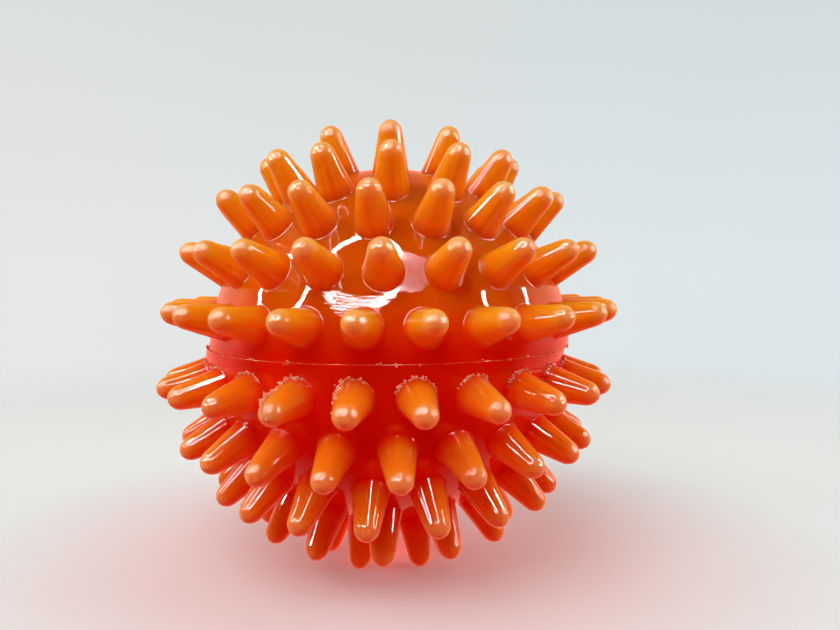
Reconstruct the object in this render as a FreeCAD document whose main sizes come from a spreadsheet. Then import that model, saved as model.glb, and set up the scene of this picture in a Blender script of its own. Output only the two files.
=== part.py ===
"""Spiky massage ball: a hollow ball of soft PVC, moulded in two halves, with rings of blunt spikes.

The origin is the middle of the ball, on the seam plane, with +Z towards the upper pole and -Y
towards the front. Each half is a cap of a sphere. The two caps sit a little out of line, and each
was trimmed at its rim, so a half's own centre lies just past the seam plane. Every spike points
straight out of its half's centre. A valve at the lower pole holds the air in.
"""
import FreeCAD, Part
import math
import os
import Sketcher

doc = FreeCAD.newDocument("spiky_massage_ball")

# ---------------------------------------------------------------- driving dimensions (mm, degrees)

SIZES = {
    "tip_reach": 37.5,          # from a half's centre to the end of a spike
    "core_radius": 29.5,        # outside of the hollow ball
    "wall": 2.2,                # thickness of the hollow ball
    "tip_radius": 1.8,          # round end of a spike
    "flank_angle": 9.0,         # between a spike's side and its axis
    "root_radius": 3.2,         # a spike's foot on the ball, flare included
    "flare_angle": 45.0,        # between the flare at the foot and the spike's axis
    "half_offset": 0.86,        # how far out of line the halves sit
    "seam_trim": 0.67,          # from a half's centre to the seam plane
    "flash_radius": 29.85,      # outside of the bead round the seam
    "flash_inside": 28.5,       # inside of the bead, buried between the rims
    "flash_height": 0.4,        # height of the bead
    "neck_radius": 4.2,         # valve seat, where it fills the hole in the wall
    "flange_radius": 6.0,       # valve seat, inside the wall
    "seat_depth": 23.0,         # from the half's centre to the seat's inner face
    "recess_radius": 3.1,       # pocket for the plug's head
    "recess_depth": 1.1,
    "bore_radius": 1.6,         # hole for the plug's shank
    "shank_radius": 1.55,
    "shank_end": 22.0,          # from the half's centre to the shank's inner end
    "shank_chamfer": 0.5,
    "head_radius": 3.0,
    "head_height": 1.0,
    "needle_radius": 0.6,       # blind hole in the head that a pump needle finds
    "needle_depth": 1.6,
}

# Rows of spikes, from the seam to the pole: how many, and how far each row is from the seam.
ROW_COUNTS = (22, 20, 17, 12, 6)
ROW_LATITUDES = (10.5, 26.0, 41.5, 56.4)
UPPER_POLE_LATITUDE = 72.4
LOWER_POLE_LATITUDE = 74.5

# Where each row starts: the turn from the front (-Y) towards +X of its first spike.
UPPER_STARTS = (-5.3, 0.0, -3.9, 2.6, 2.5)
LOWER_STARTS = (-5.9, -12.4, -24.7, 0.6, 35.2)

HALVES = {
    "upper": {"sign": 1, "latitudes": ROW_LATITUDES + (UPPER_POLE_LATITUDE,), "starts": UPPER_STARTS},
    "lower": {"sign": -1, "latitudes": ROW_LATITUDES + (LOWER_POLE_LATITUDE,), "starts": LOWER_STARTS},
}


def make_sheet():
    """Put every driving dimension into the spreadsheet, one alias each."""
    cells = dict(SIZES)
    for half, layout in HALVES.items():
        for row, latitude in enumerate(layout["latitudes"], start=1):
            cells[f"{half}_row_{row}_latitude"] = latitude
            cells[f"{half}_row_{row}_start"] = layout["starts"][row - 1]
            cells[f"{half}_row_{row}_count"] = ROW_COUNTS[row - 1]
    sheet = doc.addObject("Spreadsheet::Sheet", "Sizes")
    for line, (alias, value) in enumerate(cells.items(), start=1):
        sheet.set(f"A{line}", alias)
        sheet.set(f"B{line}", str(value))
        sheet.setAlias(f"B{line}", alias)
    doc.recompute()
    return sheet


sheet = make_sheet()


# ---------------------------------------------------------------- helpers

def ready_to_turn():
    """A placement with its turn about Z, which is zero until an expression drives it."""
    return FreeCAD.Placement(FreeCAD.Vector(), FreeCAD.Rotation(FreeCAD.Vector(0, 0, 1), 0))


def on_half(body, half, turn="0"):
    """Place a body at its half's centre, turned about the ball's axis."""
    sign = HALVES[half]["sign"]
    body.Placement = ready_to_turn()
    body.setExpression(".Placement.Base.x", f"{sign} * Sizes.half_offset / 2")
    body.setExpression(".Placement.Base.z", f"{-sign} * Sizes.seam_trim")
    body.setExpression(".Placement.Rotation.Angle", turn)


def new_body(label, half, turn="0"):
    """An empty body that belongs to one half of the ball."""
    body = doc.addObject("PartDesign::Body", label)
    body.Label = label
    on_half(body, half, turn)
    return body


def origin_feature(body, role):
    """The body's own origin plane or axis with this role."""
    for feature in body.Origin.OriginFeatures:
        if feature.Role == role:
            return feature
    raise ValueError(role)


def new_sketch(body, name):
    """A sketch on the body's XZ plane: its x is the body's X, its y is the body's Z."""
    sketch = body.newObject("Sketcher::SketchObject", name)
    sketch.AttachmentSupport = [(origin_feature(body, "XZ_Plane"), "")]
    sketch.MapMode = "FlatFace"
    return sketch


def point(x, y):
    return FreeCAD.Vector(x, y, 0)


def line(sketch, start, end):
    return sketch.addGeometry(Part.LineSegment(point(*start), point(*end)), False)


def arc(sketch, centre, radius, start_angle, end_angle):
    """An arc that runs anticlockwise from start_angle to end_angle, in radians."""
    circle = Part.Circle(point(*centre), FreeCAD.Vector(0, 0, 1), radius)
    return sketch.addGeometry(Part.ArcOfCircle(circle, start_angle, end_angle), False)


def constrain(sketch, *terms):
    return sketch.addConstraint(Sketcher.Constraint(*terms))


def bind(sketch, name, expression, *terms):
    """Add a dimension to the sketch and tie it to the spreadsheet."""
    index = constrain(sketch, *terms)
    sketch.renameConstraint(index, name)
    sketch.setExpression(f"Constraints.{name}", expression)


def join(sketch, *ends):
    """Join ends in pairs: each end is (geometry, 1 for its start or 2 for its end)."""
    for first, second in zip(ends[::2], ends[1::2]):
        constrain(sketch, "Coincident", *first, *second)


def revolve(body, sketch, axis_name):
    """Turn the sketch through a full circle about one of its own axes."""
    turned = body.newObject("PartDesign::Revolution", f"{body.Name}_turned")
    turned.Profile = sketch
    turned.ReferenceAxis = (sketch, [axis_name])
    turned.Angle = 360
    body.Tip = turned
    return turned


ORIGIN = (-1, 1)        # the sketch's own origin, as a geometry and a point on it
H_AXIS = -1
V_AXIS = -2


# ---------------------------------------------------------------- spikes

def spike_profile(sketch):
    """Half the outline of a spike, which lies along the sketch's x axis.

    The foot is an arc of the ball, so the spike sits on the wall face to face. From there a short
    flare leads into the straight side, and the side is tangent to the round tip.
    """
    core, foot = SIZES["core_radius"], SIZES["root_radius"]
    tip, reach = SIZES["tip_radius"], SIZES["tip_reach"]
    lean, flare_lean = math.radians(SIZES["flank_angle"]), math.radians(SIZES["flare_angle"])
    foot_turn = math.asin(foot / core)
    foot_end = (core * math.cos(foot_turn), foot)
    centre_x = reach - tip
    side_top = (centre_x + tip * math.sin(lean), tip * math.cos(lean))
    # The flare falls from the foot's edge until it meets the side.
    slope, flare_slope = math.tan(lean), math.tan(flare_lean)
    run = (foot - side_top[1] - (side_top[0] - foot_end[0]) * slope) / (flare_slope - slope)
    side_foot = (foot_end[0] + run, foot - run * flare_slope)

    base = arc(sketch, (0, 0), core, 0, foot_turn)
    flare = line(sketch, foot_end, side_foot)
    side = line(sketch, side_foot, side_top)
    cap = arc(sketch, (centre_x, 0), tip, 0, math.pi / 2 - lean)
    axis = line(sketch, (reach, 0), (core, 0))

    constrain(sketch, "Coincident", base, 3, *ORIGIN)
    join(sketch, (base, 2), (flare, 1), (flare, 2), (side, 1), (cap, 1), (axis, 1), (axis, 2), (base, 1))
    constrain(sketch, "Tangent", side, 2, cap, 2)
    constrain(sketch, "PointOnObject", cap, 3, H_AXIS)
    constrain(sketch, "PointOnObject", axis, 1, H_AXIS)
    constrain(sketch, "PointOnObject", axis, 2, H_AXIS)
    bind(sketch, "core_radius", "Sizes.core_radius", "Radius", base, core)
    bind(sketch, "tip_radius", "Sizes.tip_radius", "Radius", cap, tip)
    bind(sketch, "tip_reach", "Sizes.tip_reach", "DistanceX", *ORIGIN, axis, 1, reach)
    bind(sketch, "root_radius", "Sizes.root_radius", "DistanceY", *ORIGIN, base, 2, foot)
    bind(sketch, "flank_angle", "180 - Sizes.flank_angle", "Angle", H_AXIS, 1, side, 2, math.pi - lean)
    bind(sketch, "flare_angle", "180 - Sizes.flare_angle",
         "Angle", H_AXIS, 1, flare, 2, math.pi - flare_lean)


def spike_row(half, row):
    """One ring of equal spikes: the first is turned from its outline, the rest are copies of it."""
    label = f"{half}_spikes_row_{row}"
    cells = f"Sizes.{half}_row_{row}"
    sign = HALVES[half]["sign"]
    body = new_body(label, half, f"{cells}_start - 90")
    body.AllowCompound = True
    sketch = new_sketch(body, f"{label}_outline")
    sketch.AttachmentOffset = ready_to_turn()
    sketch.setExpression(".AttachmentOffset.Rotation.Angle", f"{sign} * {cells}_latitude")
    spike_profile(sketch)
    first = revolve(body, sketch, "H_Axis")
    doc.recompute()
    ring = body.newObject("PartDesign::PolarPattern", f"{label}_ring")
    ring.Originals = [first]
    ring.Axis = (origin_feature(body, "Z_Axis"), [""])
    ring.Angle = 360
    ring.setExpression("Occurrences", f"{cells}_count")
    body.Tip = ring
    return body


# ---------------------------------------------------------------- shells and seam

def shell_half(half, pole_hole):
    """One hollow cap, from its rim on the seam plane to its pole or to the hole at its pole."""
    sign = HALVES[half]["sign"]
    outside = SIZES["core_radius"]
    inside = outside - SIZES["wall"]
    rim = SIZES["seam_trim"]
    hole = SIZES["neck_radius"] if pole_hole else 0.0

    def on_circle(radius, height):
        return math.sqrt(radius ** 2 - height ** 2), sign * height

    def at_pole(radius):
        return hole, sign * math.sqrt(radius ** 2 - hole ** 2)

    def wall_arc(sketch, radius):
        """The cap's inner or outer face; returns it with the point numbers of its rim and pole."""
        rim_turn = math.asin(rim / radius)
        pole_turn = math.acos(hole / radius)
        if sign > 0:
            return arc(sketch, (0, 0), radius, rim_turn, pole_turn), 1, 2
        return arc(sketch, (0, 0), radius, -pole_turn, -rim_turn), 2, 1

    body = new_body(f"{half}_shell", half)
    sketch = new_sketch(body, f"{half}_shell_outline")
    outer, outer_rim, outer_pole = wall_arc(sketch, outside)
    inner, inner_rim, inner_pole = wall_arc(sketch, inside)
    seam = line(sketch, on_circle(inside, rim), on_circle(outside, rim))
    pole = line(sketch, at_pole(inside), at_pole(outside))
    constrain(sketch, "Coincident", outer, 3, *ORIGIN)
    constrain(sketch, "Coincident", inner, 3, *ORIGIN)
    join(sketch, (seam, 1), (inner, inner_rim), (seam, 2), (outer, outer_rim))
    join(sketch, (pole, 1), (inner, inner_pole), (pole, 2), (outer, outer_pole))
    constrain(sketch, "Horizontal", seam)
    bind(sketch, "outside", "Sizes.core_radius", "Radius", outer, outside)
    bind(sketch, "inside", "Sizes.core_radius - Sizes.wall", "Radius", inner, inside)
    bind(sketch, "rim", f"{sign} * Sizes.seam_trim", "DistanceY", *ORIGIN, seam, 1, sign * rim)
    constrain(sketch, "Vertical", pole)
    if pole_hole:
        bind(sketch, "pole_hole", "Sizes.neck_radius", "DistanceX", *ORIGIN, pole, 1, hole)
    else:
        constrain(sketch, "PointOnObject", pole, 1, V_AXIS)
    revolve(body, sketch, "V_Axis")
    return body


def seam_bead(upper, lower):
    """The squeezed-out bead round the seam: a thin ring, less the two rims that it lies against."""
    outer = doc.addObject("Part::Cylinder", "flash_outer")
    outer.setExpression("Radius", "Sizes.flash_radius")
    inner = doc.addObject("Part::Cylinder", "flash_inner")
    inner.setExpression("Radius", "Sizes.flash_inside")
    for cylinder in (outer, inner):
        cylinder.setExpression("Height", "Sizes.flash_height")
        cylinder.setExpression(".Placement.Base.z", "-Sizes.flash_height / 2")
    solid = outer
    for number, tool in enumerate((inner, upper, lower), start=1):
        cut = doc.addObject("Part::Cut", f"flash_cut_{number}")
        cut.Base = solid
        cut.Tool = tool
        solid = cut
    solid.Label = "seam_flash"
    return solid


# ---------------------------------------------------------------- valve

def outline(sketch, corners):
    """Straight sides through the corners, joined end to end but not closed."""
    sides = [line(sketch, a, b) for a, b in zip(corners, corners[1:])]
    for a, b in zip(sides, sides[1:]):
        constrain(sketch, "Coincident", a, 2, b, 1)
    for side, (a, b) in zip(sides, zip(corners, corners[1:])):
        if a[0] == b[0]:
            constrain(sketch, "Vertical", side)
        elif a[1] == b[1]:
            constrain(sketch, "Horizontal", side)
    return sides


def valve_seat():
    """The rubber insert in the lower pole: a neck through the wall and a flange behind it."""
    inside = SIZES["core_radius"] - SIZES["wall"]
    neck, flange = SIZES["neck_radius"], SIZES["flange_radius"]
    face = math.sqrt(SIZES["core_radius"] ** 2 - neck ** 2)
    floor = face - SIZES["recess_depth"]
    bore, recess, top = SIZES["bore_radius"], SIZES["recess_radius"], SIZES["seat_depth"]
    wall_at_neck = (neck, -math.sqrt(inside ** 2 - neck ** 2))
    wall_at_flange = (flange, -math.sqrt(inside ** 2 - flange ** 2))

    body = new_body("valve_seat", "lower")
    sketch = new_sketch(body, "valve_seat_outline")
    corners = [wall_at_flange, (flange, -top), (bore, -top), (bore, -floor), (recess, -floor),
               (recess, -face), (neck, -face), wall_at_neck]
    sides = outline(sketch, corners)
    flange_side, top_side, bore_side, floor_side, recess_side, face_side, neck_side = sides
    neck_turn = math.atan2(wall_at_neck[1], neck)
    flange_turn = math.atan2(wall_at_flange[1], flange)
    behind_wall = arc(sketch, (0, 0), inside, neck_turn, flange_turn)
    constrain(sketch, "Coincident", behind_wall, 3, *ORIGIN)
    join(sketch, (neck_side, 2), (behind_wall, 1), (behind_wall, 2), (flange_side, 1))
    bind(sketch, "inside", "Sizes.core_radius - Sizes.wall", "Radius", behind_wall, inside)
    bind(sketch, "flange", "Sizes.flange_radius", "DistanceX", *ORIGIN, top_side, 1, flange)
    bind(sketch, "bore", "Sizes.bore_radius", "DistanceX", *ORIGIN, bore_side, 1, bore)
    bind(sketch, "recess", "Sizes.recess_radius", "DistanceX", *ORIGIN, recess_side, 1, recess)
    bind(sketch, "neck", "Sizes.neck_radius", "DistanceX", *ORIGIN, neck_side, 1, neck)
    bind(sketch, "top", "-Sizes.seat_depth", "DistanceY", *ORIGIN, top_side, 1, -top)
    face_depth = "sqrt(Sizes.core_radius ^ 2 - Sizes.neck_radius ^ 2)"
    bind(sketch, "face", f"-{face_depth}", "DistanceY", *ORIGIN, face_side, 1, -face)
    bind(sketch, "floor", f"Sizes.recess_depth - {face_depth}",
         "DistanceY", *ORIGIN, floor_side, 1, -floor)
    revolve(body, sketch, "V_Axis")
    return body


def valve_plug():
    """The pull-out plug: a head that fills the seat's pocket, and a shank that fills its bore."""
    face = math.sqrt(SIZES["core_radius"] ** 2 - SIZES["neck_radius"] ** 2)
    under = face - SIZES["recess_depth"]
    outer = under + SIZES["head_height"]
    head, shank, end = SIZES["head_radius"], SIZES["shank_radius"], SIZES["shank_end"]
    chamfer, needle = SIZES["shank_chamfer"], SIZES["needle_radius"]
    blind = outer - SIZES["needle_depth"]

    body = new_body("valve_plug", "lower")
    sketch = new_sketch(body, "valve_plug_outline")
    corners = [(0, -end), (shank - chamfer, -end), (shank, -end - chamfer), (shank, -under), (head, -under),
               (head, -outer), (needle, -outer), (needle, -blind), (0, -blind), (0, -end)]
    sides = outline(sketch, corners)
    end_side, _, shank_side, under_side, head_side, outer_side, needle_side, blind_side, axis = sides
    constrain(sketch, "Coincident", axis, 2, end_side, 1)
    constrain(sketch, "PointOnObject", axis, 1, V_AXIS)
    bind(sketch, "end", "-Sizes.shank_end", "DistanceY", *ORIGIN, end_side, 1, -end)
    bind(sketch, "chamfer_in", "Sizes.shank_radius - Sizes.shank_chamfer",
         "DistanceX", *ORIGIN, end_side, 2, shank - chamfer)
    bind(sketch, "chamfer_out", "-Sizes.shank_end - Sizes.shank_chamfer",
         "DistanceY", *ORIGIN, shank_side, 1, -end - chamfer)
    bind(sketch, "shank", "Sizes.shank_radius", "DistanceX", *ORIGIN, shank_side, 1, shank)
    bind(sketch, "head", "Sizes.head_radius", "DistanceX", *ORIGIN, head_side, 1, head)
    bind(sketch, "needle", "Sizes.needle_radius", "DistanceX", *ORIGIN, needle_side, 1, needle)
    under_depth = "sqrt(Sizes.core_radius ^ 2 - Sizes.neck_radius ^ 2) - Sizes.recess_depth"
    bind(sketch, "under", f"-({under_depth})", "DistanceY", *ORIGIN, under_side, 1, -under)
    bind(sketch, "outer", f"-({under_depth} + Sizes.head_height)",
         "DistanceY", *ORIGIN, outer_side, 1, -outer)
    bind(sketch, "blind", f"-({under_depth} + Sizes.head_height - Sizes.needle_depth)",
         "DistanceY", *ORIGIN, blind_side, 1, -blind)
    revolve(body, sketch, "V_Axis")
    return body


# ---------------------------------------------------------------- build, check and write

def build():
    """Every sub-part of the ball, in the order in which it would be put together."""
    upper = shell_half("upper", pole_hole=False)
    lower = shell_half("lower", pole_hole=True)
    parts = [upper, lower, seam_bead(upper, lower), valve_seat(), valve_plug()]
    for half in HALVES:
        parts += [spike_row(half, row) for row in range(1, len(ROW_COUNTS) + 1)]
    return parts


def check(parts):
    """Stop if any object failed to compute, or if a sub-part is empty or broken."""
    for item in doc.Objects:
        if "Invalid" in item.State or "Error" in item.State:
            raise RuntimeError(f"{item.Label} did not compute: {item.State}")
    for part in parts:
        if part.Shape.isNull() or not part.Shape.isValid() or not part.Shape.Solids:
            raise RuntimeError(f"{part.Label} has no sound solid")


parts = build()
doc.recompute()
check(parts)
os.makedirs("parts", exist_ok=True)
for part in parts:
    part.Shape.exportStep(f"parts/{part.Label}.step")
    print(f"{part.Label}: {len(part.Shape.Solids)} solids, {part.Shape.Volume / 1000:.2f} cm3")
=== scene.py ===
"""Looks of the spiky massage ball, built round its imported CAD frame.

The ball is a hollow moulding of soft, see-through orange PVC. Its skin is one continuous mesh: light
spreads inside it from the wall into the spikes, so their roots have to be joined to the wall.
"""
import math
import random

import bpy
from mathutils import Matrix, Vector, geometry, noise


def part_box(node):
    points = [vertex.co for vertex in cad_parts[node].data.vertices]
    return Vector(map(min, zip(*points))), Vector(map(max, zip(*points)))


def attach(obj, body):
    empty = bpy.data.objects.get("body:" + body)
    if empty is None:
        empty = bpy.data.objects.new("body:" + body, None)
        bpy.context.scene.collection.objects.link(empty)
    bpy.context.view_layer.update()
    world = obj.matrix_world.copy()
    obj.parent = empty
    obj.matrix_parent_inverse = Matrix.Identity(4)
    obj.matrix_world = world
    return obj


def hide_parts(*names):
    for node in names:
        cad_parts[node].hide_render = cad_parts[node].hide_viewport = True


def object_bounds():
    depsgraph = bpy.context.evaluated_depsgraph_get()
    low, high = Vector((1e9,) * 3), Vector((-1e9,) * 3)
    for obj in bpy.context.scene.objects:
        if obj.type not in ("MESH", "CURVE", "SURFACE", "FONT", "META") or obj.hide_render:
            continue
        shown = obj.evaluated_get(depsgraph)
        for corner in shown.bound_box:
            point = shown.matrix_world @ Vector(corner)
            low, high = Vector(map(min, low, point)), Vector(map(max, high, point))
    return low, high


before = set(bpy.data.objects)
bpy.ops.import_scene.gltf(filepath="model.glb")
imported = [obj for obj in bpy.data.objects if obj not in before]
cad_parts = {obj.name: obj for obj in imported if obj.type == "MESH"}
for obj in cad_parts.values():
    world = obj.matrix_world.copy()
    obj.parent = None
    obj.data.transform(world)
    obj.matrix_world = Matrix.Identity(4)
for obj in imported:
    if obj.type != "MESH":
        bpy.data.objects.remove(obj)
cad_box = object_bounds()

MM = 0.001
TURN = 2 * math.pi

# ---------------------------------------------------------------- sizes of the ball, from the frame

ROWS = (1, 2, 3, 4, 5)
SIGNS = {"upper": 1, "lower": -1}


def cap_sphere(node):
    """Centre and radius of the sphere that a half shell is a cap of. Its rim lies on the seam."""
    low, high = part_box(node)
    rim = (high.x - low.x) / 2
    height = high.z - low.z
    radius = (rim ** 2 + height ** 2) / (2 * height)
    return Vector(((low.x + high.x) / 2, 0, high.z - radius)), radius


CENTRE = {}
CENTRE["upper"], CORE = cap_sphere("upper_shell")
CENTRE["lower"] = -CENTRE["upper"]
TRIM = CENTRE["lower"].z        # from a half's centre to the seam
FLOOR_Z = cad_box[0][2]
TIP_ROUND = 0.4 * MM            # how far back from its end a tip is still round
SAME_SPIKE = math.radians(5)    # tips nearer than this belong to one spike


def spike_axes(half, row):
    """The direction of each spike in a row, out of its half's centre, and how far out its tip is."""
    centre = CENTRE[half]
    rays = [v.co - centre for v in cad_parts[f"{half}_spikes_row_{row}"].data.vertices]
    reach = max(ray.length for ray in rays)
    groups = []
    for ray in rays:
        if ray.length < reach - TIP_ROUND:
            continue
        for group in groups:
            if group[0].angle(ray) < SAME_SPIKE:
                group.append(ray)
                break
        else:
            groups.append([ray])
    axes = [sum(group, Vector()).normalized() for group in groups]
    return sorted(axes, key=lambda axis: math.atan2(axis.x, -axis.y)), reach


AXES = {}
for half in SIGNS:
    for row in ROWS:
        AXES[half, row], REACH = spike_axes(half, row)

# ---------------------------------------------------------------- sizes of the moulding (metres)

TIP = 1.8 * MM                  # radius of the ball that fits in a spike's end
CAP = 1.55 * MM                 # radius of its very end, which is a little more pointed
CAP_TURN = math.radians(30)     # from the axis to the normal where the end meets the shoulder
LEAN = math.radians(9)          # between a spike's side and its axis
FILLET = 0.28 * MM              # between a spike and the wall
WALL = 2.2 * MM
VALVE_NECK = 0.7                # radius of the valve seat's neck, as a share of its flange's
POCKET_GAP = 0.03 * MM          # between the skin and the valve
FUSED = 0.7                     # share of the halves' mismatch that is gone at the seam
FUSED_REACH = 2.4 * MM          # how far from the seam the halves start to draw together
SPIKE_SIDES = 26
FILLET_STEPS = 4
FLANK_STEPS = 4
SHOULDER_STEPS = 5
CAP_STEPS = 5
SEAM_SIDES = 300
VALVE_SIDES = 48
SKIN_PITCH = 0.95 * MM          # between the points of the wall's outside
RING_PITCH = 0.87 * SKIN_PITCH  # between their rings of latitude
COLLAR = 0.3 * SKIN_PITCH       # from a spike's root to the ring of points round it
ROOT_CLEAR = 0.55 * SKIN_PITCH  # from a spike's root to the nearest other point
HOLE_CLEAR = 0.4 * SKIN_PITCH
SEAM_CLEAR = 0.6 * SKIN_PITCH
SAME_PLACE = 1e-9               # points of a half's chart nearer than this are one
GRAIN_LEVEL = 0.35              # grains of the wall's polish per millimetre, on the level and upwards
GRAIN_UP = 3.0
SPIKE_GRAIN_ROUND = 3.0         # and grains of a spike's: in a radius, and from root to tip
SPIKE_GRAIN_ALONG = 0.7
SPIKE_SEEDS = 50                # how far apart the spikes' grains may be taken from the noise
VALVE_HOLE = (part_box("valve_seat")[1].x - CENTRE["lower"].x) * VALVE_NECK


def arc(centre, radius, first, last, steps):
    """Places along an arc, each with the direction out of the arc's centre there."""
    points = []
    for step in range(steps + 1):
        turn = first + (last - first) * step / steps
        ray = Vector((math.cos(turn), math.sin(turn)))
        points.append((centre + radius * ray, ray))
    return points


def spike_outline():
    """Half a spike's outline, from the wall to the tip: each place, and the outward normal there.

    Both are (along the spike's axis, away from it). The side is straight, and a shoulder of a larger
    radius leads from it into the round end.
    """
    out = Vector((math.sin(LEAN), math.cos(LEAN)))
    down = Vector((-math.cos(LEAN), math.sin(LEAN)))
    meeting = Vector((math.cos(CAP_TURN), math.sin(CAP_TURN)))
    overlap = meeting.dot(out)
    shoulder = (TIP * (1 - out.x) - CAP * (overlap - out.x)) / (1 - overlap)
    cap_centre = Vector((REACH - CAP, 0))
    shoulder_centre = cap_centre + (CAP - shoulder) * meeting
    top = shoulder_centre + shoulder * out
    start = top + FILLET * out
    reach_down = -start.dot(down)
    slide = reach_down - math.sqrt(reach_down ** 2 - start.length_squared + (CORE + FILLET) ** 2)
    fillet_centre = start + slide * down
    wall_turn = math.pi + math.atan2(fillet_centre.y, fillet_centre.x)
    flank_turn = 1.5 * math.pi - LEAN
    fillet = arc(fillet_centre, FILLET, wall_turn, flank_turn, FILLET_STEPS)
    points = [(place, -ray) for place, ray in fillet]
    foot = points[-1][0]
    for step in range(1, FLANK_STEPS + 1):
        points.append((foot.lerp(top, step / FLANK_STEPS), out))
    points += arc(shoulder_centre, shoulder, math.pi / 2 - LEAN, CAP_TURN, SHOULDER_STEPS)[1:]
    points += arc(cap_centre, CAP, CAP_TURN, 0, CAP_STEPS)[1:]
    return points


OUTLINE = spike_outline()
FOOT = OUTLINE[0][0].x          # where a spike starts, from its half's centre
ROOT = OUTLINE[0][0].y          # its radius there
MID_FILLET = OUTLINE[FILLET_STEPS // 2][0]


def cross_axes(axis):
    """Two directions square to a spike's axis: one level, and one up towards the pole."""
    level = Vector((-axis.y, axis.x, 0)).normalized()
    return level, axis.cross(level)


def fused(half, place):
    """A place on a half, drawn in towards the ball's own axis near the seam."""
    near = max(0, 1 - abs(place.z) / FUSED_REACH)
    return place - Vector((FUSED * near ** 2 * CENTRE[half].x, 0, 0))


def wall_grain(place):
    """Where a place on the wall lies in the noise of its polish, which is drawn out on the level."""
    return Vector((GRAIN_LEVEL * place.x, GRAIN_LEVEL * place.y, GRAIN_UP * place.z)) / MM


def spike_grain(side, along):
    """The same for a place on a spike, where it is drawn out from root to tip."""
    turn = TURN * side / SPIKE_SIDES
    return Vector((
        SPIKE_GRAIN_ROUND * math.cos(turn),
        SPIKE_GRAIN_ROUND * math.sin(turn),
        SPIKE_GRAIN_ALONG * along,
    ))


class Skin:
    """The points and faces of one mesh, with what the material needs to know at each point.

    Along is 0 on the wall and 1 at a spike's tip. Grain is the place in the noise of the polish.
    """

    def __init__(self):
        self.points = []
        self.faces = []
        self.normals = []
        self.along = []
        self.grain = []

    def point(self, place, normal, along=0.0, grain=None):
        self.points.append(place)
        self.normals.append(normal)
        self.along.append(along)
        self.grain.append(grain or wall_grain(place))
        return len(self.points) - 1

    def face(self, corners, flip=False):
        self.faces.append(tuple(reversed(corners)) if flip else tuple(corners))

    def strip(self, first, second, flip=False):
        """Quads between two closed loops of equally many points."""
        count = len(first)
        for i in range(count):
            j = (i + 1) % count
            self.face((first[i], first[j], second[j], second[i]), flip)

    def object(self, name, material):
        mesh = bpy.data.meshes.new(name)
        mesh.from_pydata(self.points, [], self.faces)
        mesh.polygons.foreach_set("use_smooth", [True] * len(mesh.polygons))
        along = mesh.attributes.new("along", "FLOAT", "POINT")
        along.data.foreach_set("value", self.along)
        grain = mesh.attributes.new("grain", "FLOAT_VECTOR", "POINT")
        grain.data.foreach_set("vector", [c for place in self.grain for c in place])
        mesh.materials.append(material)
        mesh.validate()
        mesh.normals_split_custom_set_from_vertices(self.normals)
        piece = bpy.data.objects.new(name, mesh)
        bpy.context.collection.objects.link(piece)
        return piece


def spike_loop(half, axis, outline_point):
    """Points round a spike at one place of its outline, anticlockwise seen from outside."""
    level, upward = cross_axes(axis)
    place, normal = outline_point
    middle = CENTRE[half] + place.x * axis
    loop = []
    for side in range(SPIKE_SIDES):
        turn = TURN * side / SPIKE_SIDES
        away = math.cos(turn) * level + math.sin(turn) * upward
        loop.append((middle + place.y * away, normal.x * axis + normal.y * away))
    return loop


def add_spike(skin, half, axis, root_loop, seed):
    """Rings of points from the root loop, which is in the skin already, to the tip."""
    lower_loop = root_loop
    for outline_point in OUTLINE[1:-1]:
        along = (outline_point[0].x - FOOT) / (REACH - FOOT)
        loop = []
        for side, (place, normal) in enumerate(spike_loop(half, axis, outline_point)):
            loop.append(skin.point(place, normal, along, spike_grain(side, along) + seed))
        skin.strip(lower_loop, loop)
        lower_loop = loop
    tip_grain = seed + Vector((0, 0, SPIKE_GRAIN_ALONG))
    tip = skin.point(CENTRE[half] + REACH * axis, axis, 1.0, tip_grain)
    for side in range(SPIKE_SIDES):
        skin.face((lower_loop[side], lower_loop[(side + 1) % SPIKE_SIDES], tip))


def on_cap(half, turn, height):
    """A place on a half's sphere, and the normal there. The height is towards the half's pole."""
    flat = math.sqrt(CORE ** 2 - height ** 2)
    offset = Vector((flat * math.cos(turn), flat * math.sin(turn), SIGNS[half] * height))
    return CENTRE[half] + offset, offset / CORE


def cap_ring(skin, half, height, sides):
    """Points round a half's sphere at a height."""
    return [skin.point(*on_cap(half, TURN * side / sides, height)) for side in range(sides)]


def to_chart(half, place):
    """Stereographic projection of a half's sphere, from its far pole."""
    ray = (place - CENTRE[half]).normalized()
    return Vector((ray.x, ray.y)) / (1 + SIGNS[half] * ray.z)


def fill_collars(skin, half, axes):
    """A ring of points on the wall round each spike's root."""
    fill = []
    lean = (ROOT + COLLAR) / CORE
    for axis in axes:
        level, upward = cross_axes(axis)
        for side in range(SPIKE_SIDES):
            turn = TURN * (side + 0.5) / SPIKE_SIDES
            away = level * math.cos(turn) + upward * math.sin(turn)
            ray = axis * math.cos(lean) + away * math.sin(lean)
            fill.append(skin.point(CENTRE[half] + CORE * ray, ray))
    return fill


def fill_wall(skin, half, axes):
    """The points of the wall between its edges: round each root, and then in rings of latitude.

    A point is half a step further round when an odd number are in already, so that they don't line up.
    """
    fill = fill_collars(skin, half, axes)
    keep_off = (ROOT + ROOT_CLEAR) / CORE
    latitude = math.asin(TRIM / CORE) + SEAM_CLEAR / CORE
    while latitude < math.pi / 2:
        ring = max(1, round(TURN * CORE * math.cos(latitude) / SKIN_PITCH))
        for i in range(ring):
            turn = TURN * (i + 0.5 * (len(fill) % 2)) / ring
            place, ray = on_cap(half, turn, CORE * math.sin(latitude))
            off_spikes = all(ray.angle(axis) > keep_off for axis in axes)
            off_hole = half == "upper" or math.hypot(ray.x, ray.y) * CORE > VALVE_HOLE + HOLE_CLEAR
            if off_spikes and off_hole:
                fill.append(skin.point(place, ray))
        latitude += RING_PITCH / CORE
    return fill


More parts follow.
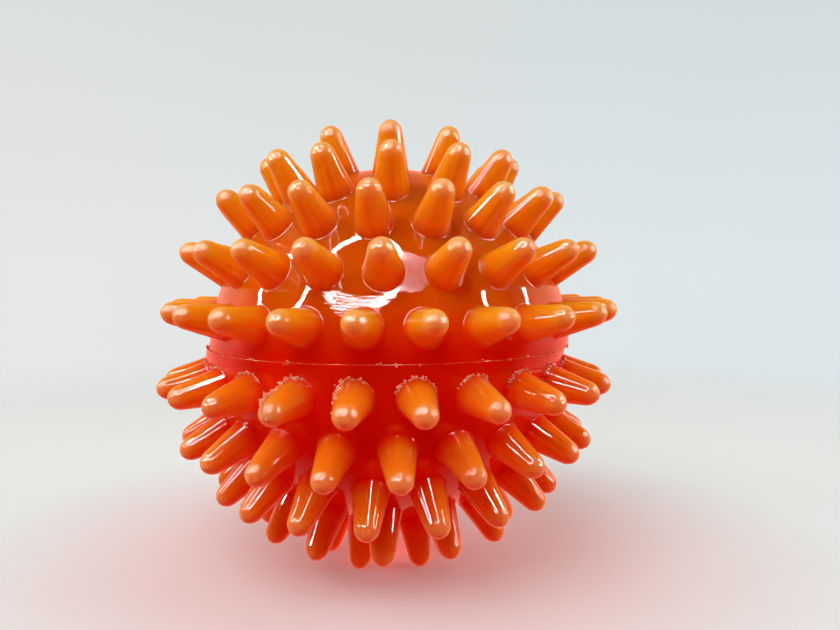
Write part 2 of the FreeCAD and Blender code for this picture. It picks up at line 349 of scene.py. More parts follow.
def close_wall(skin, half, seam, hole, root_loops, fill):
    """Triangles over the wall, which leave the valve's hole and the spikes' roots open."""
    loops = root_loops + ([hole] if hole else [])
    members = seam + hole + [i for loop in root_loops for i in loop] + fill
    chart = [to_chart(half, skin.points[i]) for i in members]
    where = {point: number for number, point in enumerate(members)}
    loop_of = {i: number for number, loop in enumerate(loops) for i in loop}
    edges = []
    for loop in [seam] + loops:
        edges += [(where[a], where[b]) for a, b in zip(loop, loop[1:] + loop[:1])]
    within_edges = 1
    filled = geometry.delaunay_2d_cdt(chart, edges, [], within_edges, SAME_PLACE, True)
    _, _, triangles, origins, _, _ = filled
    for triangle in triangles:
        corners = [members[origins[i][0]] for i in triangle]
        owners = {loop_of.get(i, -1) for i in corners}
        if len(owners) > 1 or owners == {-1}:
            skin.face(corners, half == "lower")


def add_wall(skin, half):
    """The wall's outside, between the seam, the roots of the spikes and the valve's hole.

    Returns the seam's loop, the valve hole's loop and each spike's root loop with its axis.
    """
    seam = cap_ring(skin, half, TRIM, SEAM_SIDES)
    hole = []
    if half == "lower":
        hole = cap_ring(skin, half, math.sqrt(CORE ** 2 - VALVE_HOLE ** 2), VALVE_SIDES)
    roots = []
    for row in ROWS:
        for axis in AXES[half, row]:
            loop = [skin.point(*place) for place in spike_loop(half, axis, OUTLINE[0])]
            roots.append((axis, loop))
    fill = fill_wall(skin, half, [axis for axis, _ in roots])
    close_wall(skin, half, seam, hole, [loop for _, loop in roots], fill)
    return seam, hole, roots


def add_valve_pocket(skin, hole):
    """The room for the valve: a neck through the wall, wider inside, and closed above the plug."""
    middle = CENTRE["lower"]
    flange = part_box("valve_seat")[1].x - middle.x + POCKET_GAP
    inside = CORE - WALL
    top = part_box("valve_plug")[1].z + POCKET_GAP
    outline = []
    for radius in (VALVE_HOLE, flange):
        outline.append((radius, middle.z - math.sqrt(inside ** 2 - radius ** 2) - POCKET_GAP))
    outline.append((flange, top))
    lower_loop = hole
    for radius, height in outline:
        loop = []
        for side in range(VALVE_SIDES):
            turn = TURN * side / VALVE_SIDES
            away = Vector((math.cos(turn), math.sin(turn), 0))
            place = Vector((middle.x, middle.y, height)) + radius * away
            loop.append(skin.point(place, -away))
        skin.strip(lower_loop, loop, True)
        lower_loop = loop
    skin.face(lower_loop, True)


def build_skin(material):
    """The whole moulding but its flash: the wall of both halves, and every spike, in one mesh."""
    skin = Skin()
    seeds = random.Random(7)
    seams = {}
    for half in SIGNS:
        first = len(skin.points)
        seams[half], hole, roots = add_wall(skin, half)
        for axis, loop in roots:
            seed = Vector([seeds.uniform(0, SPIKE_SEEDS) for _ in range(3)])
            add_spike(skin, half, axis, loop, seed)
        if hole:
            add_valve_pocket(skin, hole)
        skin.points[first:] = [fused(half, place) for place in skin.points[first:]]
    skin.strip(seams["lower"], seams["upper"])
    return skin.object("ball_skin", material)


# ---------------------------------------------------------------- flash, crust and the torn spike

SEAM_STEPS = 900
BEAD_SIDES = 6
BEAD_OUT = 0.09 * MM            # how far the seam's bead stands out
BEAD_HALF_HEIGHT = 0.10 * MM
BEAD_WANDER = 0.14 * MM
NIBS = 44                       # clusters of lumps on the seam
NIB_SPREAD = 0.010              # of a cluster round the seam, in radians
LUMP_RISES = (-0.7, -0.1, 0.4, 0.8)     # a lump's loops, from its foot at -1 to its top at 1
LUMP_SEEDS = 99                 # each lump's noise is shifted by up to this
CRUST_STEPS = 64
CRUST_SIZE = 0.13 * MM
CRUST_WANDER = 0.5 * MM
CRUST_LEAST = 0.01 * MM         # its radius at its ends
CRUST_LUMPS = 34
TORN_SPIKE = -22                # azimuths of two damaged spikes in the lower first row
NICKED_SPIKE = -6
TORN_SIDE = (105, 135, 26)      # crumbs on each: from and to so many degrees round it, and how many
NICKED_SIDE = (115, 190, 44)
TEAR_START = 0.44               # the tear along its spike, from 0 at the wall to 1 at the tip
TEAR_END = 1.0
TEAR_TURN = math.radians(118)
TEAR_TEETH = (                  # part of the tear's length, and part of its height there
    (0.0, 0.0),
    (0.12, 0.45),
    (0.22, 0.25),
    (0.36, 0.42),
    (0.50, 0.92),
    (0.58, 0.35),
    (0.72, 0.40),
    (0.86, 1.0),
    (0.93, 0.30),
    (1.0, 0.0),
)
TEAR_STEPS = 40
TEAR_HEIGHT = 1.15 * MM
TEAR_LEAST = 0.1 * MM
TEAR_SUNK = 0.3 * MM            # how deep its foot is in the spike
TEAR_WOBBLE = 0.3 * MM
TEAR_THICKNESS = 0.42 * MM


def rough(place, scale, seed):
    """Smooth noise from 0 to 1 at a place given in metres; scale is its grain in metres."""
    return 0.5 + 0.5 * noise.noise(place / scale + Vector((seed, seed, seed)))


def add_tube(skin, middles, radii, closed=False):
    """A lumpy tube through places on the ball; each radius is (outwards, sideways)."""
    loops = []
    count = len(middles)
    for step, (out, wide) in enumerate(radii):
        middle = middles[step]
        before = middles[step - 1] if closed or step else middle
        after = middles[(step + 1) % count] if closed or step + 1 < count else middle
        ray = middle.normalized()
        across = (after - before).cross(ray).normalized()
        loop = []
        for side in range(BEAD_SIDES):
            turn = TURN * side / BEAD_SIDES
            away = math.cos(turn) * ray + math.sin(turn) * across
            place = middle + out * math.cos(turn) * ray + wide * math.sin(turn) * across
            loop.append(skin.point(place, away))
        loops.append(loop)
    pairs = list(zip(loops, loops[1:]))
    if closed:
        pairs.append((loops[-1], loops[0]))
    for first, second in pairs:
        skin.strip(first, second)
    if not closed:
        skin.face(loops[0], True)
        skin.face(loops[-1])


def add_lump(skin, middle, outward, size, seed):
    """A small uneven lump, half sunk in the surface."""
    level = outward.orthogonal().normalized()
    across = outward.cross(level)

    def corner(ray):
        grown = size * (0.6 + 0.9 * rough(ray, 0.8, seed))
        return skin.point(middle + grown * ray, ray)

    loops = []
    for rise in LUMP_RISES:
        around = math.sqrt(1 - rise ** 2)
        loop = []
        for side in range(BEAD_SIDES):
            turn = TURN * (side + 2 * rise) / BEAD_SIDES
            away = math.cos(turn) * level + math.sin(turn) * across
            loop.append(corner(around * away + rise * outward))
        loops.append(loop)
    for first, second in zip(loops, loops[1:]):
        skin.strip(first, second)
    top = corner(outward)
    for side in range(BEAD_SIDES):
        skin.face((loops[-1][side], loops[-1][(side + 1) % BEAD_SIDES], top))
    skin.face(loops[0], True)


def on_seam(turn):
    """A place on the outer of the two rims, which are a little out of line."""
    radius = math.sqrt(CORE ** 2 - TRIM ** 2) + (1 - FUSED) * abs(CENTRE["upper"].x * math.cos(turn))
    return Vector((radius * math.cos(turn), radius * math.sin(turn), 0))


def add_nib(skin, turn, draws):
    """A cluster of lumps on the seam."""
    for _ in range(draws.randint(2, 7)):
        place = on_seam(turn + draws.gauss(0, NIB_SPREAD))
        place += Vector((0, 0, draws.gauss(0.08, 0.12) * MM))
        size = draws.uniform(0.08, 0.20) * MM
        add_lump(skin, place, place.normalized(), size, draws.uniform(0, LUMP_SEEDS))


def build_seam_flash(material):
    """The squeezed-out bead on the seam: thin and uneven, with small nibs where more ran out."""
    skin = Skin()
    middles = []
    radii = []
    for step in range(SEAM_STEPS):
        place = on_seam(TURN * step / SEAM_STEPS)
        wander = BEAD_WANDER * (rough(place, 5 * MM, 1) - 0.5)
        lump = 0.1 + 1.6 * rough(place, 0.7 * MM, 2) * rough(place, 4 * MM, 3)
        middles.append(place + Vector((0, 0, wander)))
        radii.append((lump * BEAD_OUT, lump * BEAD_HALF_HEIGHT))
    add_tube(skin, middles, radii, closed=True)
    draws = random.Random(21)
    for _ in range(NIBS):
        add_nib(skin, draws.uniform(0, TURN), draws)
    return skin.object("seam_flash_bead", material)


def side_at(reach):
    """How far a spike's side is from its axis, at a distance from its half's centre."""
    for (near, _), (far, _) in zip(OUTLINE, OUTLINE[1:]):
        if reach <= far.x:
            return near.y + (far.y - near.y) * (reach - near.x) / (far.x - near.x)
    return 0.0


def on_spike(half, axis, along, turn):
    """A place on a spike's side, and which way is out of the side there.

    Along is 0 at the wall and 1 at the tip. The turn is from level towards the pole.
    """
    level, upward = cross_axes(axis)
    reach = FOOT + along * (REACH - FOOT)
    away = math.cos(turn) * level + math.sin(turn) * upward
    return CENTRE[half] + reach * axis + side_at(reach) * away, away


def root_place(axis, turn, draws=None):
    """A place on the fillet round a lower spike, and which way is out of it, scattered by the draws."""
    level, upward = cross_axes(axis)
    away = math.cos(turn) * level + math.sin(turn) * upward
    place = CENTRE["lower"] + MID_FILLET.x * axis + MID_FILLET.y * away
    if draws:
        place += draws.gauss(0, 0.22) * MM * away + draws.uniform(-0.1, 0.35) * MM * axis
    return place, (axis + away).normalized()


def add_crust(skin, axis, start, end, size, seed):
    """Ragged flash on a lower spike's root, over part of the way round it."""
    middles = []
    radii = []
    for step in range(CRUST_STEPS + 1):
        part = step / CRUST_STEPS
        place, outward = root_place(axis, start + (end - start) * part)
        fade = math.sin(math.pi * part) ** 0.4
        lump = size * fade * (0.1 + 1.8 * rough(place, 0.2 * MM, seed) ** 3)
        wander = CRUST_WANDER * (rough(place, 0.6 * MM, seed + 9) - 0.5)
        middles.append(place + wander * outward.cross(axis).cross(axis) + 0.05 * MM * axis)
        radii.append((lump + CRUST_LEAST, lump + CRUST_LEAST))
    add_tube(skin, middles, radii)


def nearest_spike(half, row, azimuth):
    """The axis of the spike in a row that stands nearest to an azimuth in degrees."""
    wanted = math.radians(azimuth)
    return min(AXES[half, row], key=lambda axis: abs(math.atan2(axis.x, -axis.y) - wanted))


def tear_height(part):
    """The torn edge's height at a part of its length, straight between the teeth's corners."""
    for (first, low), (last, high) in zip(TEAR_TEETH, TEAR_TEETH[1:]):
        if part <= last:
            return low + (high - low) * (part - first) / (last - first)
    return TEAR_TEETH[-1][1]


def add_tear(skin, axis):
    """A torn ridge that stands up along a spike's side, with a jagged edge."""
    loops = []
    for step in range(TEAR_STEPS + 1):
        part = step / TEAR_STEPS
        side, away = on_spike("lower", axis, TEAR_START + (TEAR_END - TEAR_START) * part, TEAR_TURN)
        sideways = axis.cross(away)
        height = TEAR_LEAST + TEAR_HEIGHT * tear_height(part)
        wobble = TEAR_WOBBLE * (rough(side, 0.4 * MM, 5) - 0.5) * sideways
        root = side - TEAR_SUNK * away
        edge = root + (height + TEAR_SUNK) * away + wobble - 0.25 * height * axis
        half_thick = TEAR_THICKNESS / 2 * sideways
        middle = root.lerp(edge, 0.6) + 0.5 * wobble
        section = (
            (root - 1.3 * half_thick, -sideways),
            (middle - 0.7 * half_thick, -sideways),
            (edge, away),
            (middle + 0.7 * half_thick, sideways),
            (root + 1.3 * half_thick, sideways),
        )
        loops.append([skin.point(place, normal) for place, normal in section])
    for first, second in zip(loops, loops[1:]):
        skin.strip(first, second)
    skin.face(loops[0], True)
    skin.face(loops[-1])


def add_crumbs(skin, axis, low, high, count, draws):
    """Lumps on a lower spike's side, between two angles in degrees, and most of them near its root."""
    for _ in range(count):
        along = draws.triangular(0.0, 0.75, 0.05)
        place, away = on_spike("lower", axis, along, math.radians(draws.uniform(low, high)))
        size = draws.uniform(0.07, 0.24) * MM
        add_lump(skin, place, away, size, draws.uniform(0, LUMP_SEEDS))


def build_root_flash(material):
    """Ragged flash round the roots of the lower first row, and the two spikes that tore in the mould."""
    skin = Skin()
    draws = random.Random(5)
    up = math.pi / 2
    for number, axis in enumerate(AXES["lower", 1]):
        start = up - math.radians(draws.uniform(45, 75))
        end = up + math.radians(draws.uniform(60, 95))
        add_crust(skin, axis, start, end, CRUST_SIZE * draws.uniform(0.7, 1.2), 3 * number)
        for _ in range(CRUST_LUMPS):
            place, outward = root_place(axis, draws.triangular(start, end, end - 0.5), draws)
            size = draws.uniform(0.06, 0.22) * MM
            add_lump(skin, place, outward, size, draws.uniform(0, LUMP_SEEDS))
    torn = nearest_spike("lower", 1, TORN_SPIKE)
    nicked = nearest_spike("lower", 1, NICKED_SPIKE)
    add_tear(skin, torn)
    add_crumbs(skin, torn, *TORN_SIDE, draws)
    add_crumbs(skin, nicked, *NICKED_SIDE, draws)
    return skin.object("root_flash", material)


# ---------------------------------------------------------------- materials

# Painted shade: by height, the seam and the whole lower half get the deep red of the shaded wall, and
# the top is painted a little darker where the lamps above light it most.
WALL_COLOURS_WITH_PAINTED_SHADE = (                # at the seam, above it, and high up
    (0.033, (0.88, 0.018, 0.0005)),
    (0.3, (0.78, 0.13, 0.0008)),
    (0.7, (0.60, 0.09, 0.0006)),
)
WALL_RISE = 30 * MM             # the height that those are shares of
# Painted light along the spikes: paler towards the tip, for light through its thin end, and more orange
# in the upper half (the second table), for the light that spreads into the spikes' shaded sides.
LOW_SPIKE_COLOURS = (           # along a spike, from the wall to the tip
    (0.2, (0.90, 0.17, 0.003)),
    (0.75, (0.92, 0.25, 0.008)),
    (1.0, (0.95, 0.40, 0.13)),
)
HIGH_SPIKE_PAINTED_LIGHT_COLOURS = (
    (0.2, (0.92, 0.27, 0.003)),
    (0.75, (0.94, 0.38, 0.008)),
    (1.0, (0.97, 0.44, 0.13)),
)
LIGHT_DEPTH = (                 # how far red, green and blue light go in the wall, and in a spike
    (0.0, (1.0, 0.1, 0.03)),
    (0.5, (0.35, 0.12, 0.03)),
)
STREAK_SCALE = 1.6              # of the noise along the grain
CLOUD_SCALE = 90.0              # and of other noises, in grains per metre
PATCH_SCALE = 160.0
WAVE_SCALE = 300.0
SPECK_SCALE = 330.0
VALVE_CLOUD_SCALE = 420.0
CRUST_CLOUD_SCALE = 900.0
VALVE_GRIT_SCALE = 5200.0
HAZE_SCALE = 7000.0
COMBED_SPOT = (-8, 14.5, 6 * MM)        # azimuth, latitude and reach of two flow marks on the front
HAZY_SPOT = (10, 24.5, 3.4 * MM)
COMBED_STREAKS = (0.13, 0.13, 0.13, 1)  # how strong the first one's streaks are
SPIKE_STREAKS = ((0.5, (0.007, 0.007, 0.007)), (0.7, (0.0, 0.0, 0.0)))


class Nodes:
    """Short calls for building the nodes of a material or of the world."""

    def __init__(self, owner):
        self.owner = owner
        owner.use_nodes = True
        self.tree = owner.node_tree
        self.shader = self.tree.nodes.get("Principled BSDF")

    def node(self, kind, inputs=None, **settings):
        made = self.tree.nodes.new(kind)
        for key, value in settings.items():
            setattr(made, key, value)
        for key, value in (inputs or {}).items():
            self.put(made.inputs[key], value)
        return made

    def put(self, socket, value):
        """Links a socket, or sets its own value."""
        if isinstance(value, bpy.types.NodeSocket):
            self.tree.links.new(value, socket)
        else:
            socket.default_value = value

    def shade(self, **inputs):
        """Fills the shader's sockets; an underscore stands for a space in a socket's name."""
        for name, value in inputs.items():
            self.put(self.shader.inputs[name.replace("_", " ")], value)

    def ramp(self, factor, *stops):
        made = self.node("ShaderNodeValToRGB", {"Fac": factor})
        elements = made.color_ramp.elements
        while len(elements) < len(stops):
            elements.new(0.5)
        for element, (position, colour) in zip(elements, stops):
            element.position = position
            element.color = (*colour, 1)
        return made.outputs["Color"]

    def place(self):
        """The place on the object, which keeps still while the camera moves."""
        return self.node("ShaderNodeTexCoord").outputs["Object"]

    def noise(self, place, scale, detail):
        inputs = {"Vector": place, "Scale": scale, "Detail": detail}
        return self.node("ShaderNodeTexNoise", inputs).outputs["Fac"]

    def remap(self, value, low, high, first, last, **settings):
        """A value between low and high, carried over to between first and last."""
        ends = {"Value": value, "From Min": low, "From Max": high, "To Min": first, "To Max": last}
        return self.node("ShaderNodeMapRange", ends, **settings).outputs["Result"]

    def blend(self, factor, first, second, blend_type="MIX"):
        """One colour mixed with another. A Mix node's colour sockets have no names of their own."""
        mix = self.node("ShaderNodeMix", {"Factor": factor}, data_type="RGBA", blend_type=blend_type)
        self.put(mix.inputs[6], first)
        self.put(mix.inputs[7], second)
        return mix.outputs[2]

    def bump(self, height, strength, distance, below=None):
        """A bump, on top of the one below."""
        inputs = {"Height": height, "Strength": strength, "Distance": distance}
        if below:
            inputs["Normal"] = below
        return self.node("ShaderNodeBump", inputs).outputs["Normal"]

    def split(self, vector):
        return self.node("ShaderNodeSeparateXYZ", {"Vector": vector}).outputs


def ray_towards(azimuth, height):
    """A direction: azimuth in degrees from the front towards +X, and degrees above level."""
    turn = math.radians(azimuth)
    rise = math.radians(height)
    return Vector((math.sin(turn) * math.cos(rise), -math.cos(turn) * math.cos(rise), math.sin(rise)))


def closeness(made, place, azimuth, latitude, reach):
    """1 round a place on the wall, falling to 0 at a distance from it."""
    middle = CORE * ray_towards(azimuth, latitude)
    away = made.node("ShaderNodeVectorMath", {0: place, 1: middle}, operation="DISTANCE")
    return made.remap(away.outputs["Value"], 0.3 * reach, reach, 1.0, 0.0)


def gloss(made, grain, waviness, streaks, haze=None):
    """The moulding's polish: sharp reflections, a little wavy along the grain of the mould."""
    place = made.place()
    wave = made.noise(place, WAVE_SCALE, 1.0)
    streak = made.noise(grain, STREAK_SCALE, 1.0)
    normal = made.bump(wave, waviness, 0.2 * MM)
    normal = made.bump(streak, streaks, 0.2 * MM, normal)
    if haze:
        normal = made.bump(made.noise(place, HAZE_SCALE, 1.0), haze, 0.10 * MM, normal)
    made.shade(
        Normal=normal,
        Coat_Normal=normal,
        Coat_Weight=1.0,
        Coat_Roughness=0.02,
        Coat_IOR=1.8,
        Roughness=made.remap(streak, 0.3, 0.7, 0.16, 0.24),
        IOR=1.53,
        Specular_IOR_Level=0.0,
    )


def pvc_body(made, along, height):
    """The colour by place, with painted light and shade in it: the wall's by height, and a spike's from
    its root to its tip.
    """
    # Painted shade: the deep red at and below the seam.
    wall = made.ramp(made.remap(height, 0.0, WALL_RISE, 0.0, 1.0), *WALL_COLOURS_WITH_PAINTED_SHADE)
    low_spikes = made.ramp(along, *LOW_SPIKE_COLOURS)
    painted_lighter_high_spikes = made.ramp(along, *HIGH_SPIKE_PAINTED_LIGHT_COLOURS)
    # Painted light: the spikes above the seam take the more orange colours.
    spikes = made.blend(made.remap(height, -2 * MM, 3 * MM, 0.0, 1.0), low_spikes, painted_lighter_high_spikes)
    return made.blend(made.remap(along, 0.0, 0.25, 0.0, 1.0), wall, spikes)


def pvc_mottle(made, place, grain):
    """Faint clouds and flow streaks in the PVC, and a dark speck in about a fifth of its cells."""
    clouds = made.remap(made.noise(place, CLOUD_SCALE, 3.0), 0.3, 0.7, 0.9, 1.06)
    streaks = made.remap(made.noise(grain, STREAK_SCALE, 3.0), 0.3, 0.7, 0.97, 1.03)
    clear = made.blend(1.0, clouds, streaks, "MULTIPLY")
    cell = made.node("ShaderNodeTexVoronoi", {"Vector": place, "Scale": SPECK_SCALE}).outputs
    speck = made.remap(cell["Distance"], 0.035, 0.06, 0.6, 1.0)
    is_clear = made.remap(made.split(cell["Color"])["X"], 0.8, 0.81, 1.0, 0.0)
    return made.blend(is_clear, made.blend(1.0, clear, speck, "MULTIPLY"), clear)


def pvc_streaks(made, along, place):
    """How strong the polish marks are: faint, combed in one spot, and none at the spikes' tips."""
    patches = made.remap(made.noise(place, PATCH_SCALE, 1.0), 0.40, 0.60, 0.02, 0.05)
    wall = made.blend(closeness(made, place, *COMBED_SPOT), patches, COMBED_STREAKS)
    spikes = made.ramp(along, *SPIKE_STREAKS)
    return made.blend(made.remap(along, 0.0, 0.1, 0.0, 1.0), wall, spikes)


def pvc_material():
    """Soft see-through orange PVC. Red light goes far into it, orange only into the thin spikes.

    The wall and the spikes are a deeper red in the lower half, which is painted shade, and the spikes of
    the upper half are painted more orange.
    """
    made = Nodes(bpy.data.materials.new("orange_pvc"))
    along = made.node("ShaderNodeAttribute", attribute_name="along").outputs["Fac"]
    grain = made.node("ShaderNodeAttribute", attribute_name="grain").outputs["Vector"]
    place = made.place()
    body = pvc_body(made, along, made.split(place)["Z"])
    made.shade(
        Base_Color=made.blend(1.0, body, pvc_mottle(made, place, grain), "MULTIPLY"),
        Subsurface_Radius=made.ramp(along, *LIGHT_DEPTH),
        Subsurface_Weight=1.0,
        Subsurface_Scale=10.0 * MM,
        Sheen_Weight=0.08,
        Sheen_Roughness=0.35,
        Sheen_Tint=(1.0, 0.22, 0.30, 1),
    )
    gloss(made, grain, 0.14, pvc_streaks(made, along, place), closeness(made, place, *HAZY_SPOT))
    return made.owner


def thin_pvc_material(name, dark, light):
    """The same PVC where it is only a fraction of a millimetre thick: paler, as light goes through."""
    made = Nodes(bpy.data.materials.new(name))
    place = made.place()
    made.shade(
        Base_Color=made.ramp(made.noise(place, CRUST_CLOUD_SCALE, 3.0), (0.35, dark), (0.7, light)),
        Subsurface_Weight=0.5,
        Subsurface_Radius=(1.0, 0.4, 0.2),
        Subsurface_Scale=0.2 * MM,
    )
    gloss(made, place, 0.1, 0.1)
    return made.owner


def valve_material(name, dark, light, satin):
    """The valve's own moulding, duller than the ball: finely mottled, and rubbed smooth in places."""
    made = Nodes(bpy.data.materials.new(name))
    place = made.place()
    cloud = made.noise(place, VALVE_CLOUD_SCALE, 4.0)
    made.shade(
        Base_Color=made.ramp(cloud, (0.35, dark), (0.65, light)),
        Roughness=made.remap(cloud, 0.3, 0.7, satin - 0.08, satin + 0.08),
        Normal=made.bump(made.noise(place, VALVE_GRIT_SCALE, 2.0), 0.15, 0.05 * MM),
        Subsurface_Weight=0.6,
        Subsurface_Radius=(1.0, 0.2, 0.05),
        Subsurface_Scale=1.5 * MM,
    )
    return made.owner


# ---------------------------------------------------------------- stage

VIEW_TILT = math.radians(3.73)  # the camera looks down by this
VIEW_ROLL = math.radians(0.22)
VIEW_DISTANCE = 133 * MM
VIEW_ASIDE = 0.0397972          # how far left of the view's middle the ball stands, per distance
VIEW_BELOW = 0.0351077          # and how far below it
LENS = 33.8                     # millimetres, on a sensor of this width
SENSOR = 36
RING_OUTER = 0.192
RING_INNER = 0.167
RING_SIDES = 64
RING_COLOUR = (1.0, 0.97, 0.93)
RING_STRENGTH = 32
RING_GLOW = 6.909               # watts of soft light from a ring's place, at a metre
RINGS = {
    "middle": {"azimuth": -21, "height": 50.2, "distance": 0.45, "glow": 1.0},
    "left": {"azimuth": -77, "height": 30, "distance": 0.6, "glow": 0.45},
    "right": {"azimuth": 84, "height": 22, "distance": 0.6, "glow": 0.62},
}
FLOOR_SIDES = 96
FLOOR_COLOUR = (0.66, 0.65, 0.64, 1)
FLOOR_PAINTED_GLOW_NEAR = (0.14, 0.09, 0.09, 1)     # painted light that the floor gives off: near the ball, a painted shadow tinted by the ball's red glow, and away from it
FLOOR_PAINTED_GLOW_FAR = (0.13, 0.29, 0.285, 1)
FLOOR_PAINTED_GLOW_REACH = (35 * MM, 80 * MM)       # where the first starts to change, and where the second is
FLOOR_FADE = (0.10, 0.32)       # the floor fades into the background between these distances


def make_camera():
    """The photo's view: a little from above, with the ball left of and below the middle."""
    right = Vector((1, 0, 0))
    up = Vector((0, math.sin(VIEW_TILT), math.cos(VIEW_TILT)))
    back = Vector((0, -math.cos(VIEW_TILT), math.sin(VIEW_TILT)))
    rolled_right = math.cos(VIEW_ROLL) * right - math.sin(VIEW_ROLL) * up
    rolled_up = math.sin(VIEW_ROLL) * right + math.cos(VIEW_ROLL) * up
    eye = VIEW_DISTANCE * (VIEW_ASIDE * rolled_right + VIEW_BELOW * rolled_up + back)
    data = bpy.data.cameras.new("camera")
    data.lens = LENS
    data.sensor_width = SENSOR
    data.clip_start = 0.005
    camera = bpy.data.objects.new("camera", data)
    turn = Matrix((rolled_right, rolled_up, back)).transposed().to_4x4()
    camera.matrix_world = Matrix.Translation(eye) @ turn
    bpy.context.collection.objects.link(camera)
    bpy.context.scene.camera = camera


def ring_material(name):
    made = Nodes(bpy.data.materials.new(name))
    made.tree.nodes.clear()
    glow = made.node("ShaderNodeEmission", {"Color": (*RING_COLOUR, 1), "Strength": RING_STRENGTH})
    made.node("ShaderNodeOutputMaterial", {"Surface": glow.outputs["Emission"]})
    return made.owner


def ring_mesh(name, middle, turn):
    """A flat ring that faces the ball."""
    points = []
    for radius in (RING_INNER, RING_OUTER):
        for side in range(RING_SIDES):
            angle = TURN * side / RING_SIDES
            corner = Vector((radius * math.cos(angle), radius * math.sin(angle), 0))
            points.append(middle + turn @ corner)
    faces = []
    for side in range(RING_SIDES):
        after = (side + 1) % RING_SIDES
        faces.append((side, after, RING_SIDES + after, RING_SIDES + side))
    mesh = bpy.data.meshes.new(name)
    mesh.from_pydata(points, [], faces)
    mesh.materials.append(ring_material(name))
    return mesh


def ring_light(name, azimuth, height, distance, glow):
    """A ring lamp that is mirrored in the ball, and a disk lamp in its place that lights the ball."""
    ray = ray_towards(azimuth, height)
    middle = distance * ray
    turn = ray.to_track_quat("Z", "Y").to_matrix()
    lamp = bpy.data.objects.new(name, ring_mesh(name, middle, turn))
    lamp.visible_camera = False
    lamp.visible_diffuse = False
    bpy.context.collection.objects.link(lamp)
    data = bpy.data.lights.new(f"{name}_glow", "AREA")
    data.shape = "DISK"
    data.size = 2 * RING_OUTER
    data.energy = RING_GLOW * glow * distance ** 2
    glow_lamp = bpy.data.objects.new(f"{name}_glow", data)
    glow_lamp.visible_glossy = False
    glow_lamp.matrix_world = Matrix.Translation(middle) @ turn.to_4x4()
    bpy.context.collection.objects.link(glow_lamp)


def ball_glow():
    """A small red lamp among the lowest spikes, for the light that comes through the ball."""
    data = bpy.data.lights.new("ball_glow", "POINT")
    data.energy = 0.0012
    data.color = (1.0, 0.08, 0.03)
    data.shadow_soft_size = 6 * MM
    lamp = bpy.data.objects.new("ball_glow", data)
    lamp.location = (0, 0, -31.5 * MM)
    lamp.visible_glossy = False
    bpy.context.collection.objects.link(lamp)


def floor_bounce():
    """A wide red lamp under the floor that shines up, for the light that the floor throws back."""
    data = bpy.data.lights.new("floor_bounce", "AREA")
    data.shape = "DISK"
    data.size = 0.6
    data.energy = 0.50
    data.color = (1.0, 0.04, 0.02)
    lamp = bpy.data.objects.new("floor_bounce", data)
    lamp.location = (0, 0, FLOOR_Z - 0.02)
    lamp.rotation_euler = (math.pi, 0, 0)
    lamp.visible_glossy = False
    lamp.visible_camera = False
    bpy.context.collection.objects.link(lamp)


def floor_material():
    """Pale, with a painted glow that is dim and pink near the ball for its shadow and red light, clear
    from below, and clearer with distance until it is gone.
    """
    made = Nodes(bpy.data.materials.new("floor_pale"))
    away = made.node("ShaderNodeVectorMath", {0: made.place()}, operation="LENGTH").outputs["Value"]
    # Painted shadow and light: the floor's glow is dim pink near the ball and paler away from it.
    far = made.remap(away, *FLOOR_PAINTED_GLOW_REACH, 0.0, 1.0)
    made.shade(
        Base_Color=FLOOR_COLOUR,
        Emission_Color=made.blend(far, FLOOR_PAINTED_GLOW_NEAR, FLOOR_PAINTED_GLOW_FAR),
        Emission_Strength=1.0,
        Roughness=0.45,
    )
    fade = made.remap(away, *FLOOR_FADE, 0.0, 1.0, interpolation_type="SMOOTHSTEP")
    beneath = made.node("ShaderNodeNewGeometry").outputs["Backfacing"]
    gone = made.node("ShaderNodeMath", {0: fade, 1: beneath}, operation="MAXIMUM").outputs["Value"]
    clear = made.node("ShaderNodeBsdfTransparent").outputs["BSDF"]
    mix = made.node("ShaderNodeMixShader", {0: gone, 1: made.shader.outputs["BSDF"], 2: clear})
    made.put(made.tree.nodes["Material Output"].inputs["Surface"], mix.outputs["Shader"])
    return made.owner


def make_floor():
    """A pale floor that fades into the background, so that no horizon shows."""
    points = []
    for side in range(FLOOR_SIDES):
        turn = TURN * side / FLOOR_SIDES
        points.append((math.cos(turn), math.sin(turn), 0))
    mesh = bpy.data.meshes.new("floor")
    mesh.from_pydata(points, [], [tuple(range(FLOOR_SIDES))])
    mesh.materials.append(floor_material())
    floor = bpy.data.objects.new("floor", mesh)
    floor.location = (0, 0, FLOOR_Z)
    bpy.context.collection.objects.link(floor)
    floor.visible_diffuse = False
    floor.visible_glossy = False
    floor.visible_shadow = False


def backdrop_light(made, factor, *stops):
    colour = made.ramp(factor, *stops)
    return made.node("ShaderNodeBackground", {"Color": colour}).outputs["Background"]


def product(made, first, second):
    return made.node("ShaderNodeMath", {0: first, 1: second}, operation="MULTIPLY").outputs["Value"]


def mixed(made, factor, otherwise, chosen):
    return made.node("ShaderNodeMixShader", {0: factor, 1: otherwise, 2: chosen}).outputs["Shader"]


def seen_backdrop(made, towards):
    """What the camera sees: pale grey, a little bluer on the right and darker higher up."""
    left = backdrop_light(made, towards["Z"], (0.0, (0.79, 0.80, 0.79)), (0.35, (0.69, 0.72, 0.71)))
    right = backdrop_light(made, towards["Z"], (0.0, (0.72, 0.79, 0.81)), (0.35, (0.64, 0.70, 0.71)))
    return mixed(made, made.remap(towards["X"], -0.4, 0.4, 0.0, 1.0), left, right)


def room_light(made, towards):
    """What lights the ball: white from behind it, and hardly anything from in front and below."""
    above = made.remap(towards["Z"], -0.15, 0.05, 0.0, 1.0)
    behind = made.remap(towards["Y"], -0.2, 0.7, 0.0, 1.0)
    lit = product(made, above, behind)
    return backdrop_light(made, lit, (0.0, (0.16, 0.04, 0.03)), (1.0, (0.75, 0.75, 0.75)))


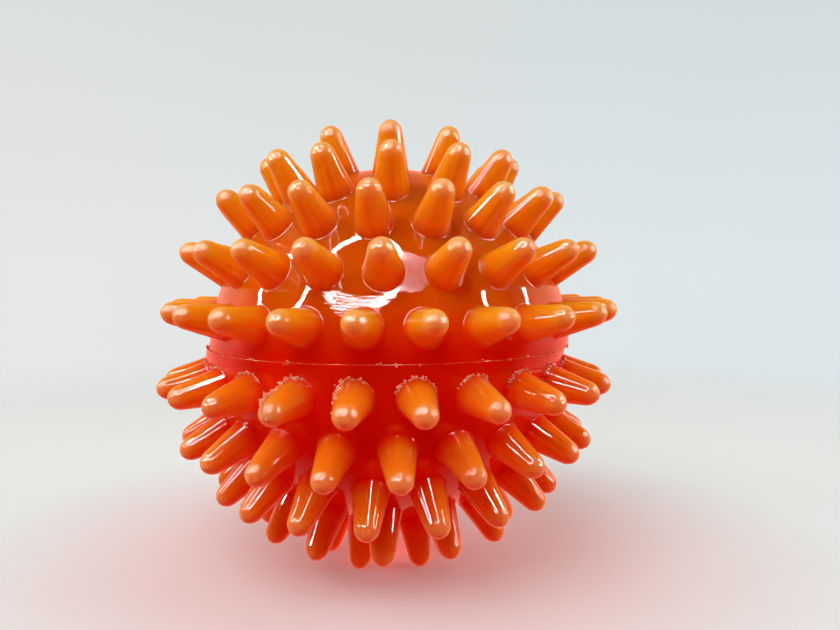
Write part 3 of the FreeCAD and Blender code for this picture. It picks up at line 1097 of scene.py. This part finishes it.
def mirrored_backdrop(made, towards):
    """What the ball mirrors: a band of pink behind it near the floor, and coral that dims upwards."""
    black = (0.0, (0.0, 0.0, 0.0))
    back = made.remap(towards["Y"], 0.0, 0.4, 0.0, 1.0)
    band = backdrop_light(made, back, black, (1.0, (1.3, 0.52, 0.44)))
    far = made.remap(towards["Y"], -0.1, 0.8, 0.0, 1.0)
    not_above = made.remap(towards["Z"], 0.3, 0.8, 1.0, 0.1)
    coral = backdrop_light(made, product(made, far, not_above), black, (1.0, (1.35, 0.42, 0.30)))
    below_top = made.remap(towards["Z"], 0.1, 0.4, 1.0, 0.0)
    above_floor = made.remap(towards["Z"], -0.1, 0.1, 0.0, 1.0)
    return mixed(made, product(made, below_top, above_floor), coral, band)


def make_world():
    """A pale backdrop all round, in a room that is dark in front of the ball."""
    world = bpy.data.worlds.new("studio")
    bpy.context.scene.world = world
    made = Nodes(world)
    made.tree.nodes.clear()
    towards = made.split(made.node("ShaderNodeTexCoord").outputs["Generated"])
    path = made.node("ShaderNodeLightPath").outputs
    mirrored = mirrored_backdrop(made, towards)
    light = mixed(made, path["Is Glossy Ray"], room_light(made, towards), mirrored)
    shader = mixed(made, path["Is Camera Ray"], light, seen_backdrop(made, towards))
    made.node("ShaderNodeOutputWorld", {"Surface": shader})


# ---------------------------------------------------------------- the ball

PVC = pvc_material()
skin = build_skin(PVC)
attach(skin, "ball")
rows = [f"{half}_spikes_row_{row}" for half in SIGNS for row in ROWS]
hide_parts("upper_shell", "lower_shell", *rows)

BEAD_PVC = thin_pvc_material("orange_pvc_bead", (0.93, 0.09, 0.015), (1.0, 0.34, 0.15))
# The crust's pale pinkish-white colours are partly painted glints, besides the paleness of thin PVC that
# light goes through.
CRUST_PVC_PAINTED_GLINTS = thin_pvc_material("orange_pvc_crust_painted_glints", (0.98, 0.22, 0.05), (1.0, 0.60, 0.38))
seam_flash = build_seam_flash(BEAD_PVC)
root_flash = build_root_flash(CRUST_PVC_PAINTED_GLINTS)
for piece in (seam_flash, root_flash):
    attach(piece, "ball")
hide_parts("seam_flash")

VALVE_LOOKS = {
    "valve_seat": valve_material("valve_rubber", (0.50, 0.035, 0.004), (0.62, 0.07, 0.008), 0.42),
    "valve_plug": valve_material("plug_pvc", (0.66, 0.10, 0.008), (0.78, 0.16, 0.014), 0.34),
}
for node, material in VALVE_LOOKS.items():
    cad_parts[node].data.materials.clear()
    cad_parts[node].data.materials.append(material)

make_camera()
for name, place in RINGS.items():
    ring_light(f"ring_light_{name}", **place)
make_floor()
make_world()
ball_glow()
floor_bounce()
bpy.context.scene.view_settings.view_transform = "Standard"
